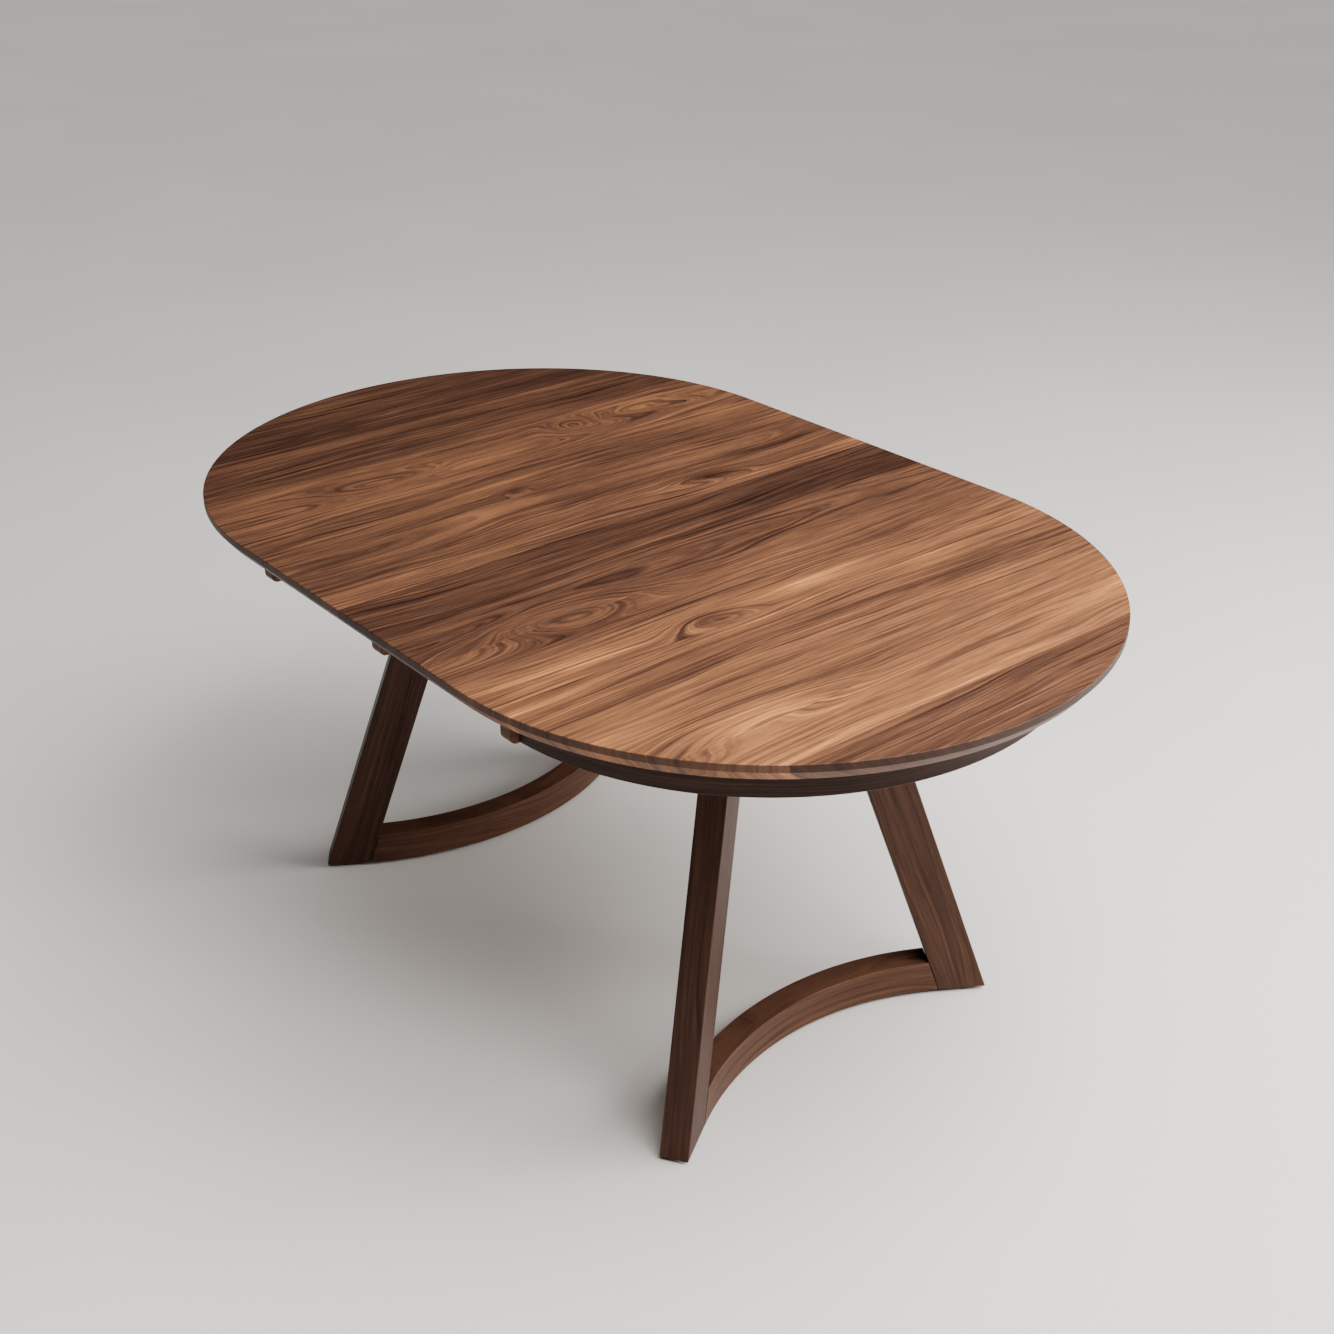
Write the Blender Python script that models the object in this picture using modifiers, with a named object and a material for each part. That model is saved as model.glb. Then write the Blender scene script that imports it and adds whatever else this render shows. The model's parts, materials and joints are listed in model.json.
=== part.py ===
"""Extendable dining table: two half-round tops on split bases, with two loose leaves between them.

Run with: blender --background --python part.py
Metres, +Z up. X runs along the opened table, the seam between the two leaves is at X = 0.
"""
import math

import bmesh
import bpy
from mathutils import Matrix, Vector

# ---- driving dimensions -------------------------------------------------------------------------
HEIGHT = 0.750
TOP_RADIUS = 0.508
LEAF_WIDTH = 0.297
TOP_THICKNESS = 0.027
EDGE_FLAT = 0.0110        # upright part of the top's edge; below it the edge is cut back
EDGE_UNDERCUT = 0.0125
ARRIS = 0.0010
FIT = 0.0003              # gap between touching pieces

APRON_RADIUS = 0.443
APRON_THICKNESS = 0.020
APRON_BOTTOM = 0.664

RAIL_THICKNESS = 0.022
RAIL_HALF_LENGTH = 0.455
RAIL_CORNER = 0.010
LEG_CLEARANCE_HALF_WIDTH = 0.150

RUNNER_WIDTH = 0.022
RUNNER_HEIGHT = 0.0345
RUNNER_LENGTH = 0.686
RUNNER_GAP = 0.0005
RUNNER_MIDDLE_Y = 0.2035
TONGUE_DEPTH = 0.005
TONGUE_HEIGHT = 0.008
RELEASE_TRAVEL = 0.015    # how far each half opens past the leaves

LEG_FOOT = (0.4963, 0.3265)
LEG_PLAN_ANGLE = math.radians(57.6)
LEG_LEAN = math.radians(19.4)
LEG_WIDTH = 0.0777        # level width along the leg's own plane
LEG_THICKNESS = 0.0437
LEG_EDGE = 0.002

STRETCHER_HEIGHT = 0.0556
GLIDER_HEIGHT = 0.006
GLIDER_RADIUS = 0.012
GLIDER_STEM_RADIUS = 0.004
GLIDER_STEM_LENGTH = 0.018

HEAD_THICKNESS = 0.040
HEAD_LENGTH = 0.108
HEAD_HALF_WIDTH = 0.155

LEAF_BATTEN_WIDTH = 0.040
LEAF_BATTEN_THICKNESS = 0.018

PEG_RADIUS = 0.005
PEG_DROP = 0.012
BOLT_RADIUS = 0.004
BOLT_HEAD_RADIUS = 0.0075
BOLT_HEAD_HEIGHT = 0.005
HOLE_CLEARANCE = 0.0005

# ---- places worked out from them ----------------------------------------------------------------
UNDERSIDE = HEIGHT - TOP_THICKNESS
HANG_Z = UNDERSIDE - FIT
RAIL_INNER = LEAF_WIDTH + RAIL_THICKNESS / 2 + 0.001
RAIL_OUTER = RAIL_INNER + RAIL_THICKNESS
RUNNER_BOTTOM = HANG_Z - RUNNER_HEIGHT
RUNNER_PITCH = RUNNER_WIDTH + RUNNER_GAP
SLIDE_INNER_Y = RUNNER_MIDDLE_Y - 1.5 * RUNNER_PITCH
SLIDE_OUTER_Y = RUNNER_MIDDLE_Y + 1.5 * RUNNER_PITCH
HEAD_BOTTOM = HANG_Z - HEAD_THICKNESS
LEG_TOP = HEAD_BOTTOM - FIT
LEAN = math.tan(LEG_LEAN)

NEAR, FAR = 1, -1
LEFT, RIGHT = -1, 1
END_NAMES = {NEAR: "near", FAR: "far"}
SIDE_NAMES = {LEFT: "left", RIGHT: "right"}

WALNUT_TOP = ("walnut_top", (0.36, 0.17, 0.075, 1.0), 0.42, 0.0)
WALNUT_LEAF = ("walnut_leaf", (0.31, 0.145, 0.065, 1.0), 0.42, 0.0)
WALNUT_BASE = ("walnut_base", (0.12, 0.052, 0.027, 1.0), 0.45, 0.0)
WALNUT_FRAME = ("walnut_frame", (0.15, 0.068, 0.036, 1.0), 0.50, 0.0)
BEECH_SLIDE = ("beech_slide", (0.52, 0.33, 0.18, 1.0), 0.55, 0.0)
STEEL = ("steel", (0.45, 0.45, 0.46, 1.0), 0.35, 1.0)
PLASTIC = ("black_plastic", (0.015, 0.015, 0.016, 1.0), 0.5, 0.0)


# ---- scene helpers ------------------------------------------------------------------------------
def clear_scene():
    for obj in list(bpy.data.objects):
        bpy.data.objects.remove(obj, do_unlink=True)


def new_collection(name):
    made = bpy.data.collections.new(name)
    bpy.context.scene.collection.children.link(made)
    return made


def material(finish):
    name, colour, roughness, metallic = finish
    made = bpy.data.materials.get(name)
    if made is None:
        made = bpy.data.materials.new(name)
        made.use_nodes = True
        shader = made.node_tree.nodes["Principled BSDF"]
        shader.inputs["Base Color"].default_value = colour
        shader.inputs["Roughness"].default_value = roughness
        shader.inputs["Metallic"].default_value = metallic
        made.diffuse_color = colour
    return made


def place(mesh, name, finish, body):
    """Make an object of a mesh that is in world coordinates, and hang it on its body's empty."""
    obj = bpy.data.objects.new(name, mesh)
    mesh.name = name
    mesh.materials.clear()
    mesh.materials.append(material(finish))
    mesh.shade_smooth()
    mesh.set_sharp_from_angle(angle=math.radians(30))
    bpy.data.collections["dining_table"].objects.link(obj)
    obj.parent = body
    obj.matrix_parent_inverse = body.matrix_world.inverted()
    return obj


def body_empty(name, location):
    empty = bpy.data.objects.new(name, None)
    empty.location = location
    empty.empty_display_size = 0.05
    bpy.data.collections["dining_table"].objects.link(empty)
    bpy.context.view_layer.update()
    return empty


def add_bevel(obj, width, segments=2):
    bevel = obj.modifiers.new("rounded_edges", "BEVEL")
    bevel.width = width
    bevel.segments = segments
    bevel.limit_method = "ANGLE"
    bevel.angle_limit = math.radians(40)
    return bevel


def cut(obj, cutters):
    for cutter in cutters:
        boolean = obj.modifiers.new("cut_" + cutter.name, "BOOLEAN")
        boolean.operation = "DIFFERENCE"
        boolean.solver = "EXACT"
        boolean.object = cutter


# ---- shape helpers ------------------------------------------------------------------------------
def baked(obj):
    """The mesh of an object as its modifiers leave it, welded; the object is removed."""
    bpy.context.view_layer.update()
    evaluated = obj.evaluated_get(bpy.context.evaluated_depsgraph_get())
    mesh = bpy.data.meshes.new_from_object(evaluated)
    mesh.transform(obj.matrix_world)
    work = bmesh.new()
    work.from_mesh(mesh)
    bmesh.ops.remove_doubles(work, verts=work.verts, dist=1e-6)
    bmesh.ops.recalc_face_normals(work, faces=work.faces)
    work.to_mesh(mesh)
    work.free()
    bpy.data.objects.remove(obj, do_unlink=True)
    return mesh


def turned(profile, steps, centre=(0.0, 0.0)):
    """Turn a profile of (radius, z) points, top to bottom on the outside, about an upright axis."""
    mesh = bpy.data.meshes.new("profile")
    points = [(radius, 0.0, z) for radius, z in profile]
    closed = profile[0][0] > 0 and profile[-1][0] > 0
    edges = [(i, i + 1) for i in range(len(points) - 1)]
    if closed:
        edges.append((len(points) - 1, 0))
    mesh.from_pydata(points, edges, [])
    obj = bpy.data.objects.new("profile", mesh)
    bpy.context.scene.collection.objects.link(obj)
    screw = obj.modifiers.new("turn", "SCREW")
    screw.axis = "Z"
    screw.steps = steps
    screw.render_steps = steps
    screw.use_merge_vertices = True
    screw.merge_threshold = 0.00001
    obj.location = (centre[0], centre[1], 0.0)
    return baked(obj)


def keep_side(mesh, point, normal):
    """Cut a mesh with a plane, keep the side its normal points away from, and cap the cut."""
    work = bmesh.new()
    work.from_mesh(mesh)
    geometry = work.verts[:] + work.edges[:] + work.faces[:]
    bmesh.ops.bisect_plane(
        work, geom=geometry, dist=1e-7, plane_co=Vector(point), plane_no=Vector(normal), clear_outer=True
    )
    rim = [edge for edge in work.edges if edge.is_boundary]
    if rim:
        bmesh.ops.holes_fill(work, edges=rim, sides=0)
    bmesh.ops.recalc_face_normals(work, faces=work.faces)
    work.to_mesh(mesh)
    work.free()
    return mesh


def board_from_outline(outline, x_low, x_high):
    """A board whose (y, z) outline is carried along X from x_low to x_high."""
    curve = bpy.data.curves.new("outline", "CURVE")
    curve.dimensions = "2D"
    curve.fill_mode = "BOTH"
    curve.extrude = (x_high - x_low) / 2
    spline = curve.splines.new("POLY")
    spline.points.add(len(outline) - 1)
    for point, (y, z) in zip(spline.points, outline):
        point.co = (y, z, 0.0, 1.0)
    spline.use_cyclic_u = True
    obj = bpy.data.objects.new("outline", curve)
    bpy.context.scene.collection.objects.link(obj)
    turn = Matrix(((0, 0, 1), (1, 0, 0), (0, 1, 0))).to_4x4()
    obj.matrix_world = Matrix.Translation(((x_low + x_high) / 2, 0.0, 0.0)) @ turn
    return baked(obj)


def block(low, high):
    """A box between two corners."""
    low, high = Vector(low), Vector(high)
    work = bmesh.new()
    bmesh.ops.create_cube(work, size=1.0)
    bmesh.ops.scale(work, vec=high - low, verts=work.verts)
    bmesh.ops.translate(work, vec=(low + high) / 2, verts=work.verts)
    mesh = bpy.data.meshes.new("block")
    work.to_mesh(mesh)
    work.free()
    return mesh


def drill(name, x, y, z_low, z_high, radius):
    """An upright round cutter."""
    work = bmesh.new()
    bmesh.ops.create_cone(
        work, cap_ends=True, segments=16, radius1=radius, radius2=radius, depth=z_high - z_low
    )
    bmesh.ops.translate(work, vec=(x, y, (z_low + z_high) / 2), verts=work.verts)
    mesh = bpy.data.meshes.new(name)
    work.to_mesh(mesh)
    work.free()
    cutter = bpy.data.objects.new(name, mesh)
    bpy.data.collections["cutters"].objects.link(cutter)
    cutter.display_type = "WIRE"
    cutter.hide_render = True
    return cutter


# ---- tops and leaves ----------------------------------------------------------------------------
def edge_profile(reach):
    """The top's edge from the top face down: arris, upright part, cut-back part."""
    return [
        (reach - ARRIS, HEIGHT),
        (reach, HEIGHT - ARRIS),
        (reach, HEIGHT - EDGE_FLAT),
        (reach - EDGE_UNDERCUT, UNDERSIDE),
    ]


def top_bolt_places(end):
    """Where the head block is bolted up to the half top."""
    x_inner = RAIL_OUTER + 0.020
    x_outer = RAIL_OUTER + HEAD_LENGTH - 0.016
    side = HEAD_HALF_WIDTH - 0.022
    return [(end * x_inner, 0.0), (end * x_outer, 0.0), (end * x_outer, -side), (end * x_outer, side)]


def half_top(end, body):
    profile = [(0.0, HEIGHT)] + edge_profile(TOP_RADIUS) + [(0.0, UNDERSIDE)]
    mesh = turned(profile, 160, centre=(end * LEAF_WIDTH, 0.0))
    keep_side(mesh, (end * (LEAF_WIDTH + FIT / 2), 0.0, 0.0), (-end, 0.0, 0.0))
    top = place(mesh, "top_half_" + END_NAMES[end], WALNUT_TOP, body)
    holes = []
    for index, (x, y) in enumerate(top_bolt_places(end)):
        name = "top_hole_%s_%d" % (END_NAMES[end], index)
        holes.append(drill(name, x, y, UNDERSIDE - 0.005, UNDERSIDE + 0.0165, BOLT_RADIUS + HOLE_CLEARANCE))
    cut(top, holes)


def leaf(end, body):
    right = edge_profile(TOP_RADIUS)
    left = [(-y, z) for y, z in reversed(right)]
    low = FIT / 2
    high = LEAF_WIDTH - FIT / 2
    if end == FAR:
        low, high = -high, -low
    mesh = board_from_outline(right + left, low, high)
    place(mesh, "leaf_" + END_NAMES[end], WALNUT_LEAF, body)


def leaf_battens(end, body):
    """Flat battens across the leaf's grain; they straddle the slides and keep the leaf in line."""
    x_low = RAIL_THICKNESS / 2 + 0.006
    x_high = LEAF_WIDTH - 0.006
    for side in (LEFT, RIGHT):
        y_low = SLIDE_OUTER_Y + 0.0015
        y_high = y_low + LEAF_BATTEN_WIDTH
        corners = sorted((side * y_low, side * y_high))
        spans = sorted((end * x_low, end * x_high))
        mesh = block(
            (spans[0], corners[0], HANG_Z - LEAF_BATTEN_THICKNESS), (spans[1], corners[1], HANG_Z)
        )
        name = "leaf_batten_%s_%s" % (END_NAMES[end], SIDE_NAMES[side])
        batten = place(mesh, name, WALNUT_FRAME, body)
        add_bevel(batten, 0.003)


# ---- frame under the tops -----------------------------------------------------------------------
def half_apron(end, body):
    profile = [
        (APRON_RADIUS, HANG_Z),
        (APRON_RADIUS, APRON_BOTTOM + 0.0015),
        (APRON_RADIUS - 0.0015, APRON_BOTTOM),
        (APRON_RADIUS - APRON_THICKNESS, APRON_BOTTOM),
        (APRON_RADIUS - APRON_THICKNESS, HANG_Z),
    ]
    mesh = turned(profile, 128, centre=(end * LEAF_WIDTH, 0.0))
    keep_side(mesh, (end * (RAIL_OUTER + FIT), 0.0, 0.0), (-end, 0.0, 0.0))
    place(mesh, "apron_" + END_NAMES[end], WALNUT_BASE, body)


def corner_arc(y, z, start, count=4):
    """A rounded lower corner about (y, z), a quarter turn from the start angle."""
    points = []
    for step in range(count + 1):
        angle = start + math.pi / 2 * step / count
        points.append((y + RAIL_CORNER * math.cos(angle), z + RAIL_CORNER * math.sin(angle)))
    return points


def rail_outline(with_leg_clearance):
    """A cross rail in (y, z): notched from above for the slides, with rounded lower corners."""
    end_y = RAIL_HALF_LENGTH
    bottom = APRON_BOTTOM
    notch_z = RUNNER_BOTTOM - FIT
    outline = [(end_y, HANG_Z)]
    outline += [(SLIDE_OUTER_Y, HANG_Z), (SLIDE_OUTER_Y, notch_z)]
    outline += [(SLIDE_INNER_Y, notch_z), (SLIDE_INNER_Y, HANG_Z)]
    outline += [(-y, z) for y, z in reversed(outline)]
    outline += corner_arc(-end_y + RAIL_CORNER, bottom + RAIL_CORNER, math.pi)
    if with_leg_clearance:
        for y, z in ((-1, bottom), (-1, HEAD_BOTTOM), (1, HEAD_BOTTOM), (1, bottom)):
            outline.append((y * LEG_CLEARANCE_HALF_WIDTH, z))
    outline += corner_arc(end_y - RAIL_CORNER, bottom + RAIL_CORNER, 1.5 * math.pi)
    return outline


def half_rail(end, body):
    spans = sorted((end * RAIL_INNER, end * RAIL_OUTER))
    mesh = board_from_outline(rail_outline(True), spans[0], spans[1])
    place(mesh, "cross_rail_" + END_NAMES[end], WALNUT_FRAME, body)


def centre_rail(body):
    mesh = board_from_outline(rail_outline(False), -RAIL_THICKNESS / 2, RAIL_THICKNESS / 2)
    place(mesh, "cross_rail_centre", WALNUT_FRAME, body)


def head_block(end, body):
    spans = sorted((end * (RAIL_OUTER + FIT), end * (RAIL_OUTER + HEAD_LENGTH)))
    mesh = block((spans[0], -HEAD_HALF_WIDTH, HEAD_BOTTOM), (spans[1], HEAD_HALF_WIDTH, HANG_Z))
    head = place(mesh, "head_block_" + END_NAMES[end], WALNUT_FRAME, body)
    add_bevel(head, 0.003)
    holes = []
    for index, (x, y) in enumerate(top_bolt_places(end)):
        name = "head_hole_%s_%d" % (END_NAMES[end], index)
        holes.append(drill(name, x, y, HEAD_BOTTOM - 0.01, HANG_Z + 0.01, BOLT_RADIUS + HOLE_CLEARANCE))
    for side in (LEFT, RIGHT):
        x, y = leg_bolt_place(end, side)
        name = "leg_bolt_seat_%s_%s" % (END_NAMES[end], SIDE_NAMES[side])
        seat_low = HANG_Z - BOLT_HEAD_HEIGHT - 0.001
        holes.append(drill(name, x, y, seat_low, HANG_Z + 0.01, BOLT_HEAD_RADIUS + HOLE_CLEARANCE))
        name = "leg_bolt_hole_%s_%s" % (END_NAMES[end], SIDE_NAMES[side])
        holes.append(drill(name, x, y, HEAD_BOTTOM - 0.01, HANG_Z, BOLT_RADIUS + HOLE_CLEARANCE))
    cut(head, holes)


# ---- slides -------------------------------------------------------------------------------------
def runner_outline(y_middle, tongue_side):
    """A slide member in (y, z); tongue_side is -1 or 1 for a tongue there, 0 for two grooves."""
    half = RUNNER_WIDTH / 2
    mid_z = RUNNER_BOTTOM + RUNNER_HEIGHT / 2
    right = [(half, RUNNER_BOTTOM), (half, HANG_Z)]
    left = [(-half, HANG_Z), (-half, RUNNER_BOTTOM)]
    if tongue_side == 0:
        depth = TONGUE_DEPTH + 0.0005
        reach = TONGUE_HEIGHT / 2 + 0.0005
        right = groove(half, half - depth, mid_z, reach)
        left = [(-y, z) for y, z in reversed(right)]
    elif tongue_side > 0:
        right = groove(half, half + RUNNER_GAP + TONGUE_DEPTH, mid_z, TONGUE_HEIGHT / 2)
    else:
        right_form = groove(half, half + RUNNER_GAP + TONGUE_DEPTH, mid_z, TONGUE_HEIGHT / 2)
        left = [(-y, z) for y, z in reversed(right_form)]
    return [(y_middle + y, z) for y, z in right + left]


def groove(y_face, y_deep, z_middle, reach):
    """The side of a slide member, bottom to top, stepping to y_deep around its middle."""
    return [
        (y_face, RUNNER_BOTTOM),
        (y_face, z_middle - reach),
        (y_deep, z_middle - reach),
        (y_deep, z_middle + reach),
        (y_face, z_middle + reach),
        (y_face, HANG_Z),
    ]


def peg_place(end, side):
    """The stop peg at a half runner's tail, on the far side of the centre rail."""
    x = -end * (RAIL_THICKNESS / 2 + RELEASE_TRAVEL + 0.001 + PEG_RADIUS)
    return x, side * (RUNNER_MIDDLE_Y + end * RUNNER_PITCH)


def half_runner(end, side, body):
    """A slide member fixed under a half top; the near ones run outside, the far ones inside."""
    tail = LEAF_WIDTH - RUNNER_LENGTH / 2
    spans = sorted((end * tail, end * (tail + RUNNER_LENGTH)))
    y_middle = side * (RUNNER_MIDDLE_Y + end * RUNNER_PITCH)
    mesh = board_from_outline(runner_outline(y_middle, -side * end), spans[0], spans[1])
    name = "slide_runner_%s_%s" % (END_NAMES[end], SIDE_NAMES[side])
    runner = place(mesh, name, BEECH_SLIDE, body)
    x, y = peg_place(end, side)
    hole = drill("peg_hole_%s_%s" % (END_NAMES[end], SIDE_NAMES[side]), x, y,
                 RUNNER_BOTTOM - 0.005, RUNNER_BOTTOM + 0.015, PEG_RADIUS + FIT)
    cut(runner, [hole])


def stop_peg(end, side, body):
    x, y = peg_place(end, side)
    low = RUNNER_BOTTOM - PEG_DROP
    high = RUNNER_BOTTOM + 0.0145
    profile = [(0.0, high), (PEG_RADIUS, high), (PEG_RADIUS, low + 0.001)]
    profile += [(PEG_RADIUS - 0.001, low), (0.0, low)]
    mesh = turned(profile, 16, centre=(x, y))
    name = "stop_peg_%s_%s" % (END_NAMES[end], SIDE_NAMES[side])
    place(mesh, name, BEECH_SLIDE, body)


def middle_runner(side, body):
    outline = runner_outline(side * RUNNER_MIDDLE_Y, 0)
    mesh = board_from_outline(outline, -RUNNER_LENGTH / 2, RUNNER_LENGTH / 2)
    place(mesh, "slide_runner_middle_" + SIDE_NAMES[side], BEECH_SLIDE, body)


# ---- split base ---------------------------------------------------------------------------------
def leg_axes(end, side):
    """Level directions of a leg: outward along its own plane, and across its thickness."""
    along = Vector((end * math.cos(LEG_PLAN_ANGLE), side * math.sin(LEG_PLAN_ANGLE), 0.0))
    across = Vector((end * math.sin(LEG_PLAN_ANGLE), -side * math.cos(LEG_PLAN_ANGLE), 0.0))
    return along, across


def leg_point(end, side, inward, z):
    """A point in the middle of a leg's thickness, a level distance in from its outer edge."""
    along, _ = leg_axes(end, side)
    foot = Vector((end * LEG_FOOT[0], side * LEG_FOOT[1], z))
    return foot - along * (inward + (z - GLIDER_HEIGHT) * LEAN)


def leg_bolt_place(end, side):
    point = leg_point(end, side, LEG_WIDTH * 0.42, LEG_TOP)
    return point.x, point.y


def leg(end, side, body):
    along, across = leg_axes(end, side)
    rise = LEG_TOP - GLIDER_HEIGHT
    work = bmesh.new()
    bmesh.ops.create_cube(work, size=1.0)
    middle = leg_point(end, side, LEG_WIDTH / 2, GLIDER_HEIGHT + rise / 2)
    lean_axis = Vector((0.0, 0.0, rise)) - along * (rise * LEAN)
    frame = Matrix((along * LEG_WIDTH, across * LEG_THICKNESS, lean_axis)).transposed().to_4x4()
    bmesh.ops.transform(work, matrix=Matrix.Translation(middle) @ frame, verts=work.verts)
    bmesh.ops.recalc_face_normals(work, faces=work.faces)
    mesh = bpy.data.meshes.new("leg")
    work.to_mesh(mesh)
    work.free()
    tag = "%s_%s" % (END_NAMES[end], SIDE_NAMES[side])
    made = place(mesh, "leg_" + tag, WALNUT_BASE, body)
    add_bevel(made, LEG_EDGE)
    x, y = leg_bolt_place(end, side)
    stem = glider_place(end, side)
    cut(made, [
        drill("leg_hole_" + tag, x, y, LEG_TOP - 0.0455, LEG_TOP + 0.01, BOLT_RADIUS + HOLE_CLEARANCE),
        drill("stem_hole_" + tag, stem.x, stem.y, 0.0, GLIDER_HEIGHT + GLIDER_STEM_LENGTH + 0.001,
              GLIDER_STEM_RADIUS + HOLE_CLEARANCE),
    ])


def stretcher(end, body):
    """The curved floor member: tangent to both legs at its ends, bowed towards the table's middle."""
    end_point = leg_point(end, RIGHT, LEG_WIDTH, GLIDER_HEIGHT)
    radius = end_point.y / math.cos(LEG_PLAN_ANGLE)
    centre_x = end_point.x + end * radius * math.sin(LEG_PLAN_ANGLE)
    half = LEG_THICKNESS / 2
    low = GLIDER_HEIGHT
    high = GLIDER_HEIGHT + STRETCHER_HEIGHT
    edge = 0.0015
    profile = [
        (radius + half - edge, high),
        (radius + half, high - edge),
        (radius + half, low + edge),
        (radius + half - edge, low),
        (radius - half + edge, low),
        (radius - half, low + edge),
        (radius - half, high - edge),
        (radius - half + edge, high),
    ]
    mesh = turned(profile, 240, centre=(centre_x, 0.0))
    for side in (LEFT, RIGHT):
        along, _ = leg_axes(end, side)
        normal = along * math.cos(LEG_LEAN) + Vector((0.0, 0.0, math.sin(LEG_LEAN)))
        point = leg_point(end, side, LEG_WIDTH + FIT * 2, GLIDER_HEIGHT)
        keep_side(mesh, point, normal)
    place(mesh, "stretcher_" + END_NAMES[end], WALNUT_BASE, body)


def glider_place(end, side):
    return leg_point(end, side, LEG_WIDTH * 0.36, GLIDER_HEIGHT)


def glider(end, side, body):
    where = glider_place(end, side)
    top = GLIDER_HEIGHT - FIT
    profile = [
        (0.0, GLIDER_HEIGHT + GLIDER_STEM_LENGTH),
        (GLIDER_STEM_RADIUS, GLIDER_HEIGHT + GLIDER_STEM_LENGTH),
        (GLIDER_STEM_RADIUS, top),
        (GLIDER_RADIUS, top),
        (GLIDER_RADIUS, 0.0015),
        (GLIDER_RADIUS - 0.0015, 0.0),
        (0.0, 0.0),
    ]
    mesh = turned(profile, 24, centre=(where.x, where.y))
    name = "glider_%s_%s" % (END_NAMES[end], SIDE_NAMES[side])
    place(mesh, name, PLASTIC, body)


# ---- bolts --------------------------------------------------------------------------------------
def bolt_profile(head_z, tip_z, direction):
    """A round-headed bolt; direction is 1 when its head is at the top."""
    shoulder = head_z - direction * BOLT_HEAD_HEIGHT
    soft = 0.0012
    points = [
        (0.0, head_z),
        (BOLT_HEAD_RADIUS - soft, head_z),
        (BOLT_HEAD_RADIUS, head_z - direction * soft),
        (BOLT_HEAD_RADIUS, shoulder),
        (BOLT_RADIUS, shoulder),
        (BOLT_RADIUS, tip_z),
        (0.0, tip_z),
    ]
    return points if direction > 0 else points[::-1]


def top_bolts(end, body):
    """Bolts up through the head block into the half top."""
    head_z = HEAD_BOTTOM - FIT - BOLT_HEAD_HEIGHT
    for index, (x, y) in enumerate(top_bolt_places(end)):
        mesh = turned(bolt_profile(head_z, UNDERSIDE + 0.016, -1), 16, centre=(x, y))
        name = "top_bolt_%s_%d" % (END_NAMES[end], index + 1)
        place(mesh, name, STEEL, body)


def leg_bolt(end, side, body):
    """A bolt down through the head block into the top of a leg."""
    x, y = leg_bolt_place(end, side)
    mesh = turned(bolt_profile(HANG_Z - 0.0005, LEG_TOP - 0.045, 1), 16, centre=(x, y))
    place(mesh, "leg_bolt_%s_%s" % (END_NAMES[end], SIDE_NAMES[side]), STEEL, body)


# ---- assembly -----------------------------------------------------------------------------------
def half_table(end):
    body = body_empty("body_%s_half" % END_NAMES[end], (end * LEAF_WIDTH, 0.0, 0.0))
    half_top(end, body)
    half_apron(end, body)
    half_rail(end, body)
    head_block(end, body)
    stretcher(end, body)
    top_bolts(end, body)
    for side in (LEFT, RIGHT):
        half_runner(end, side, body)
        stop_peg(end, side, body)
        leg(end, side, body)
        leg_bolt(end, side, body)
        glider(end, side, body)


def centre_frame():
    body = body_empty("body_centre_frame", (0.0, 0.0, RUNNER_BOTTOM))
    centre_rail(body)
    for side in (LEFT, RIGHT):
        middle_runner(side, body)


def loose_leaf(end):
    body = body_empty("body_leaf_" + END_NAMES[end], (end * LEAF_WIDTH / 2, 0.0, UNDERSIDE))
    leaf(end, body)
    leaf_battens(end, body)


def main():
    clear_scene()
    new_collection("dining_table")
    new_collection("cutters")
    for end in (NEAR, FAR):
        half_table(end)
        loose_leaf(end)
    centre_frame()


main()
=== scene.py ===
"""Looks of the extendable dining table: walnut boards, bent and leaning walnut members, studio light."""
import json
import math

import bmesh
import bpy
from mathutils import Matrix, Vector


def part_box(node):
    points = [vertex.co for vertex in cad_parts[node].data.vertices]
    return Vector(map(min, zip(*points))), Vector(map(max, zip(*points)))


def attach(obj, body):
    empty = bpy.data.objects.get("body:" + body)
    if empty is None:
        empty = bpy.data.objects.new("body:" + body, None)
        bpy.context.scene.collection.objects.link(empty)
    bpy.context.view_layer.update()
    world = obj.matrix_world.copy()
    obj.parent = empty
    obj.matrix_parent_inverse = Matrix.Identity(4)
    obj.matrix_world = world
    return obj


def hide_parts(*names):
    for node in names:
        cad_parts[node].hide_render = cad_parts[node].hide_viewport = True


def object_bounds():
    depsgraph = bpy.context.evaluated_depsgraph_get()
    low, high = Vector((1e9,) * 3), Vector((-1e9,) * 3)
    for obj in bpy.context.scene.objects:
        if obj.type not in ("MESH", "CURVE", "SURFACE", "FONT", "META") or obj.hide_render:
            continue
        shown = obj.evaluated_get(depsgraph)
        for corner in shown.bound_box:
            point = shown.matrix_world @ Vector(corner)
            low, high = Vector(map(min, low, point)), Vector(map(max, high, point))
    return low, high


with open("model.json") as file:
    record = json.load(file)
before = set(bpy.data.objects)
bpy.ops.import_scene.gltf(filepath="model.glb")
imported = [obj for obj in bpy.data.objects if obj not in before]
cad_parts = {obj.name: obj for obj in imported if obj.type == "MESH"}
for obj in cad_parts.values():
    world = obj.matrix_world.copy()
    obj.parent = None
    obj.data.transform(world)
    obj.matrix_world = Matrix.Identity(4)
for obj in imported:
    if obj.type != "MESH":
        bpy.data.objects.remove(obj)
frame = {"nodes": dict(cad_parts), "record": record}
CAD_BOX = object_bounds()

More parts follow.
